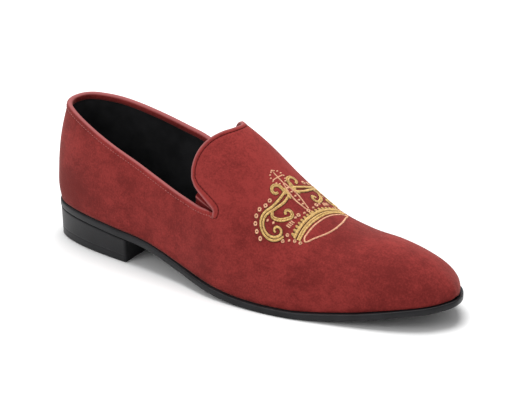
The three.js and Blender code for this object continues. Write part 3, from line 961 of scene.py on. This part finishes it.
class Threads:
    """Collects short threads, each a bowed line with a round section, and makes one object of them."""

    def __init__(self):
        self.mesh = Mesh()

    def add(self, lines, ups, radius):
        """lines holds the points of each thread, and ups the way out of the surface at each thread."""
        along = unit(np.gradient(lines, axis=1))
        sideways = unit(np.cross(along, ups[:, None]))
        out = np.cross(sideways, along)
        count = lines.shape[1]
        thickness = radius * np.minimum(1, 0.45 + np.sin(np.linspace(0, math.pi, count)))[None, :, None]
        rings = []
        for turn in np.linspace(0, math.tau, THREAD_CORNERS + 1)[:-1]:
            rings.append(lines + thickness * (math.cos(turn) * sideways + math.sin(turn) * out))
        for thread in np.stack(rings, axis=2):
            self.mesh.grid(thread, round_off=True)

    def stitch(self, line, ups, share=STITCH_SHARE, radius=THREAD_RADIUS):
        """A row of stitches along a line, each one sunk in at its ends."""
        run = run_of(line)
        at = every(STITCH_PITCH, run)
        points, out = at_run(at, run, line), unit(at_run(at, run, ups))
        along = unit(np.gradient(points, axis=0))
        bow = BOW[None, :, None]
        reach = 0.5 * share * np.linalg.norm(points[1] - points[0])
        height = STITCH_RISE - STITCH_SINK * bow**4
        self.add(points[:, None] + along[:, None] * bow * reach + out[:, None] * height, out, radius)

    def make(self, name, surface, slot):
        return self.mesh.make(name, surface, slot)


def thread_surface(name, colour, shade, gloss=0.4, sheen=0.3):
    made, place, shader = material(name)
    strands = place.noise(0.0012, 2)
    varying = {
        "Base Color": strands.step(0.25, 0.7).between(shade, colour),
        "Normal": place.bump(0.00008 * place.noise(0.0003, 2), 0.8),
    }
    finish_surface(shader, varying, {"Roughness": 0.5, "Specular IOR Level": gloss, "Sheen Weight": sheen})
    return made


rose_thread = thread_surface("rose_thread", (0.45, 0.13, 0.11, 1), (0.3, 0.05, 0.045, 1))
dark_thread = thread_surface("dark_thread", (0.12, 0.01, 0.01, 1), (0.07, 0.006, 0.006, 1), 0.05, 0.0)

BACK_SEAM = 0.034  # the station of the rows beside it
COLLAR_SEAM_DROP = 2.3
COLLAR_THREAD = 0.17
BAR_DROP = 2.6
BAR_REACH = 1.6
BAR_SLANT = np.array([0.25, 0, 0.75])
collar_seam = Threads()
seam_line = edge_line + edge_down * COLLAR_SEAM_DROP + edge_out * 0.35
collar_seam.stitch(seam_line, edge_out, share=0.5, radius=COLLAR_THREAD)
for side in SIDES:
    bar_u = station_at(NOTCH + np.linspace(0, BAR_REACH, 3))
    bar_v = share_at_height(bar_u, collar_height[side](bar_u) - BAR_DROP, side)
    bar_out = last_normal(bar_u, bar_v, side)
    bow = BOW[None, :, None]
    bar = last_point(bar_u, bar_v, side)[:, None] + BAR_SLANT * bow * 0.9
    bar = bar + bar_out[:, None] * (0.35 - 0.45 * bow**4)
    collar_seam.add(bar, bar_out, COLLAR_THREAD)
collar_seam.make("collar_seam", rose_thread, "suede")

dark_seams = Threads()
border_rises = np.concatenate([np.linspace(0.95, 1.1, 60), np.linspace(1.1, 2, 120)[1:]])
border_line, border_out = line_over_last(
    lambda side: beside_tab_edge(border_rises, border_width(border_rises), side)
)
dark_seams.stitch(border_line - 0.15 * border_out, border_out, share=0.85, radius=0.15)
heights = np.linspace(0.03, 0.93, 60) * collar_share(0.0, MEDIAL)
for side in SIDES:
    back_u = np.full_like(heights, BACK_SEAM)
    back_out = last_normal(back_u, heights, side)
    dark_seams.stitch(last_point(back_u, heights, side), back_out)
dark_seams.make("dark_seams", dark_thread, "suede")

# ----------------------------------------
# Gores: a piece of dark red elastic in each notch, sewn in under the quarter and under the tab and folded
# out along its middle.

GORE_THICKNESS = 0.9
GORE_TUCK = 3
GORE_FOLD = 1.6
# From its foot to its top: how far behind the notch it meets the quarter, and how high up the tab.
GORE_BEHIND = (2, 18)
GORE_RISE = (1.015, 1.07)


def gore(name, side, surface):
    climb = np.linspace(0, 1, 61)[:, None]
    share = np.linspace(0, 1, 41)[None, :]
    under_quarter = WALL + BINDING_THICKNESS + 3 * SEAM_GAP
    under_tab = WALL + SEAM_GAP
    quarter_u = station_at(NOTCH - blend(*GORE_BEHIND, climb))
    quarter_v = share_at_height(quarter_u, collar_height[side](quarter_u) - GORE_TUCK, side)
    tab_u, tab_v = beside_tab_edge(blend(*GORE_RISE, climb), GORE_TUCK, side)
    u, v = blend(quarter_u, tab_u, share), blend(quarter_v, tab_v, share)
    fold = GORE_FOLD * climb * bell(share, 0.5, 0.12)
    depth = blend(under_quarter, under_tab, smooth_step(share, 0.4, 0.8))
    skin = last_point(u, v, side) + last_normal(u, v, side) * (fold - depth)[..., None]
    mesh = Mesh()
    # The rim mark is a painted highlight along the ridge of the fold.
    mesh.grid(skin, side == LATERAL, rim=bell(share, 0.5, 0.035) + 0 * climb)
    points, faces, marks = mesh.merged()
    out = point_normals(points, faces)
    both, closed = layer(points, faces, out, 0, -GORE_THICKNESS)
    rim = np.tile(marks["rim"], 2)
    make_piece(name, both, closed, {"rim": rim}, surface, "elastic", [name.replace("_elastic", "")])


elastic_red, place, shader = material("elastic_red")
ribs = place.noise(0.0011, 2, 0.6)
weave = ribs.step(0.3, 0.7).between((0.1, 0.006, 0.006, 1), (0.19, 0.013, 0.013, 1))
varying = {
    # Painted highlight: a pale line along the fold's ridge, where the rim mark is 1.
    "Base Color": (0.8 * place.mark("rim")).between(weave, (0.42, 0.14, 0.13, 1)),
    "Normal": place.bump(0.00015 * ribs, 0.8),
}
finish_surface(shader, varying, {"Roughness": 0.9, "Specular IOR Level": 0.1, "Sheen Weight": 0.05})
gore("gore_lateral_elastic", LATERAL, elastic_red)
gore("gore_medial_elastic", MEDIAL, elastic_red)

# ----------------------------------------
# Crown: a traditional crown embroidered on the vamp in padded satin stitch: gold thread on a brown ground
# for the scrolls and the band, and a paler one for fine lines and pearls. The brown ground is partly a dark
# thread and partly painted shade between and around the strokes. Half of the crown is drawn flat and laid
# on the vamp: p across the shoe from the crown's axis, q along the shoe from above its cross.

CROWN_AXIS = -9
CROWN_START = 164.6
CROWN_LEAN = 0.16
CROWN_TURN = 0.075  # how far its axis turns to the inner side
CROWN_CROSS = 8.8
CROWN_SPREAD = 0.0045  # how much its inner half opens out,
CROWN_LEVEL = 21  # from this far down it
CROWN_BLEND = 4  # and how softly that starts at its axis
SATIN_PITCH = 0.4
SATIN_RADIUS = 0.21
SATIN_SLANT = 0.35

crown_stations = np.linspace(158, 232, 149)
crown_shares = np.linspace(0.25, 1, 121)
crown_rows = []
for x in crown_stations:
    u = np.full_like(crown_shares, float(station_at(x)))
    outer = last_point(u, crown_shares, LATERAL)
    row = joined(outer, last_point(u, crown_shares, MEDIAL))
    run = run_of(row)
    crown_rows.append((row, run - np.interp(CROWN_AXIS, outer[:, 1], run[: len(outer)])))
axis_run = run_of(np.array([at_run(0, run, row) for row, run in crown_rows]))
axis_run -= np.interp(CROWN_START, crown_stations, axis_run)


def on_vamp(p, q):
    """The points of the vamp under flat places of the crown."""
    p, q = np.broadcast_arrays(np.asarray(p, float), np.asarray(q, float))
    p = p - CROWN_TURN * (q - CROWN_CROSS)
    inner = (p - np.hypot(p, CROWN_BLEND) + CROWN_BLEND) / 2
    run_along = q - CROWN_LEAN * p + CROWN_SPREAD * inner * (q - CROWN_LEVEL)
    place = np.interp(run_along, axis_run, np.arange(len(axis_run)))
    low = np.minimum(place.astype(int), len(axis_run) - 2)
    points = np.zeros(p.shape + (3,))
    for i in np.unique(low):
        here = low == i
        pair = [at_run(-p[here], run, row) for row, run in crown_rows[i : i + 2]]
        share = (place[here] - i)[:, None]
        points[here] = pair[0] * (1 - share) + pair[1] * share
    return points


def out_of_vamp(p, q):
    step = 0.4
    across = on_vamp(p + step, q) - on_vamp(p - step, q)
    along = on_vamp(p, q + step) - on_vamp(p, q - step)
    return unit(np.cross(across, along))


def flat_curve(*knots):
    """A smooth line through flat places, each (p, q, width), every satin stitch apart."""
    knots = np.array(knots, float)
    run = run_of(knots[:, :2])
    fine = np.linspace(0, run[-1], 40 * len(knots))
    smooth = np.stack([curve_through(run, values)(fine) for values in knots.T], axis=1)
    run = run_of(smooth[:, :2])
    return at_run(every(SATIN_PITCH, run, 2), run, smooth)


def across_line(places):
    """The direction of a flat line at its places, and the one square to it."""
    direction = unit(np.gradient(places, axis=0))
    return direction, np.stack([-direction[:, 1], direction[:, 0]], axis=1)


def satin(threads, line, side=1, pad=0.55, slant=SATIN_SLANT):
    """Satin stitches side by side across a flat line, over a padding."""
    p, q, width = (line * (side, 1, 1)).T
    direction, square = across_line(np.stack([p, q], axis=1))
    across = unit(square + slant * direction)
    bow = BOW[None, :]
    flat_p = p[:, None] + across[:, :1] * bow * width[:, None] / 2
    flat_q = q[:, None] + across[:, 1:] * bow * width[:, None] / 2
    out = out_of_vamp(p, q)
    rise = np.minimum(pad, 0.35 * width[:, None]) * np.sqrt(np.clip(1 - bow**2, 0, 1)) - 0.12
    lines = on_vamp(flat_p, flat_q) + out[:, None] * rise[..., None]
    threads.add(lines, out, SATIN_RADIUS)


gold = Threads()
pale = Threads()
brown = Threads()


def scroll(side, rails, *knots):
    """A gold stroke in rows of stitches side by side, over a wider row in brown."""
    line = flat_curve(*knots)
    satin(brown, line + np.array([0, 0, 1.5]), side, pad=0.12)
    _, across = across_line(line[:, :2])
    for place in (np.arange(rails) + 0.5) / rails - 0.5:
        row = np.concatenate([line[:, :2] + across * place * line[:, 2:], line[:, 2:] / rails + 0.1], axis=1)
        satin(gold, row, side)


def bead(p, q, length, width, side=1):
    """A small oval of pale satin stitches, as long as length."""
    at = np.linspace(-1, 1, max(int(length / SATIN_PITCH), 3) + 1) * 0.92
    line = np.stack([p + at * length / 2, q + 0 * at, width * np.sqrt(1 - at**2)], axis=1)
    satin(pale, line, side, pad=0.5, slant=0.0)


def pearl(p, q, across, side):
    """An open ring of pale satin stitches with a brown centre."""
    satin(brown, flat_curve((p - across / 2, q, across), (p + across / 2, q, across)), side, pad=0.04)
    middle = 0.32 * across
    turns = np.linspace(0, math.tau, 9)
    ring = [(p + 1.15 * middle * math.cos(t), q + middle * math.sin(t), 0.36 * across) for t in turns]
    satin(pale, flat_curve(*ring), side, pad=0.4, slant=0.0)


ARCH_CENTRE = (26, 29)
OUTER_ROPE = 9.8
INNER_ROPE = 7.8
PEARL_RADIUS = 13.6
DOT_RADIUS = 5
BAND_BEND = 155


def round_about(centre, radius, turn):
    """The place at a radius from a centre, by its angle in degrees from across to down."""
    angle = np.radians(turn)
    return centre[0] + radius * np.cos(angle), centre[1] + radius * np.sin(angle)


def coil(centre, radii, turns, widths):
    """Knots round a centre, which tighten as they go."""
    share = np.linspace(0, 1, 8)
    places = round_about(centre, blend(*radii, share**2), blend(*turns, share))
    return list(zip(*places, blend(*widths, share)))


def band_level(level, p):
    """How far down the band is at p: it bends down from its middle to its end."""
    return level + p**2 / BAND_BEND


def band_line(level, reach, widths):
    """Knots along the band, from its middle out to reach."""
    across = np.linspace(0, reach, 5)
    return list(zip(across, band_level(level, across), np.linspace(*widths, 5)))


for flip in (1, -0.96):
    # Top scroll, from the neck up and over.
    scroll(flip, 2, (4.5, 20.5, 2), *coil((8, 15.5), (4.2, 1.4), (165, 430), (2.5, 1.8)))
    # Neck, beside the shaft.
    scroll(flip, 1, (2.5, 17, 1.2), (3.5, 22, 2.2), (4.5, 24.5, 1.2))
    # Arch: two ropes from the neck, which run together and come round to a scroll over the band's end.
    outer_bend = coil(ARCH_CENTRE, (OUTER_ROPE, OUTER_ROPE), (268, 440), (1.8, 1.5))
    scroll(flip, 1, (4, 19, 1.7), (10, 20.5, 2), (18, 20.8, 1.9), *outer_bend)
    inner_bend = coil(ARCH_CENTRE, (INNER_ROPE, INNER_ROPE), (272, 380), (1.7, 1.7))
    inner_scroll = coil((28, 33), (3.4, 1.2), (50, 345), (2.1, 1.5))
    scroll(flip, 1, (4, 22.5, 1.8), (10, 24, 2), (18, 23, 1.9), *inner_bend, *inner_scroll)
    # Inner branch.
    branch_scroll = coil((14, 31), (3.2, 1.3), (50, 330), (2.5, 1.7))
    scroll(flip, 2, (20, 22.5, 1.8), (23, 25, 2.4), (21.5, 29.5, 2.5), *branch_scroll)
    # Shaft's two lines, and the cross's arm and dots.
    satin(pale, flat_curve((0.5, 14.5, 0.9), (2.5, 24.5, 1.2), (1, 35.5, 0.9)), flip)
    satin(pale, flat_curve((0, CROWN_CROSS, 0.9), (4.4, CROWN_CROSS, 0.8)), flip)
    for turn in range(-75, 61, 27):
        bead(*round_about((0, CROWN_CROSS), DOT_RADIUS, turn), 1.3, 1, flip)
    # Pearls outside the arch.
    for p in (16.5, 21):
        pearl(p, 17, 2.9, flip)
    for turn in range(268, 349, 20):
        pearl(*round_about(ARCH_CENTRE, PEARL_RADIUS, turn), 2.9, flip)
    # Beads inside the arches and between the branch and the band.
    pearl(9, 36, 2.8, flip)
    for p in (25, 30):
        pearl(p, 40, 2.4, flip)
    for p, q in ((27, 24), (25.5, 28), (12, 36), (4.5, 37), (27, 43)):
        bead(p, q, 1.8, 1.6, flip)
    for p in (16, 17.5, 19, 20.5):
        satin(pale, flat_curve((p, 35.7, 1.1), (p - 0.4, 38, 1.1)), flip)
for flip in (1, -1.07):
    # Band: a leafy edge, a rope, a double rope, and pearls on its end.
    for p in range(1, 23, 3):
        q = band_level(39, p)
        satin(brown, flat_curve((p - 1.6, q + 0.5, 2.4), (p + 1.6, q + 0.5, 2.4)), flip, pad=0.04)
        satin(gold, flat_curve((p, q - 0.6, 1), (p, q + 0.3, 2.4), (p, q + 1.8, 2.9)), flip, pad=0.5)
    scroll(flip, 1, *band_line(41, 23.5, (2.4, 2)))
    scroll(flip, 2, *band_line(44, 23, (3.1, 2.6)))
    pearl(25, 46, 2.3, flip)
    pearl(24, 49.5, 2.3, flip)
    # Open ring below the band.
    ring_foot = [(21.5, 51, 1.2), (16, 54, 1.2), (8, 57, 1.3), (0, 58, 1.3)]
    satin(pale, flat_curve(*band_line(47, 20, (1.1, 1.1)), *ring_foot), flip)
satin(pale, flat_curve((0, 5, 0.8), (0, CROWN_CROSS, 1), (0, 14.5, 0.9)))
bead(0, 3.2, 1.5, 1.2)
for step in range(6):
    bead(0, 14.5 + 3.4 * step, 1.8, 1.5)
pearl(0.5, 37, 2.8, 1)

gold_thread = thread_surface("gold_thread", (0.78, 0.51, 0.17, 1), (0.44, 0.25, 0.07, 1))
pale_thread = thread_surface("pale_gold_thread", (0.88, 0.5, 0.3, 1), (0.6, 0.28, 0.15, 1))
# The brown thread is partly a dark ground thread and partly painted shade between the gold strokes.
brown_shade_thread = thread_surface("brown_shade_thread", (0.1, 0.035, 0.014, 1), (0.06, 0.018, 0.008, 1), 0.1, 0.0)
gold.make("crown_gold", gold_thread, "suede")
pale.make("crown_pale_gold", pale_thread, "suede")
brown.make("crown_brown_shade", brown_shade_thread, "suede")
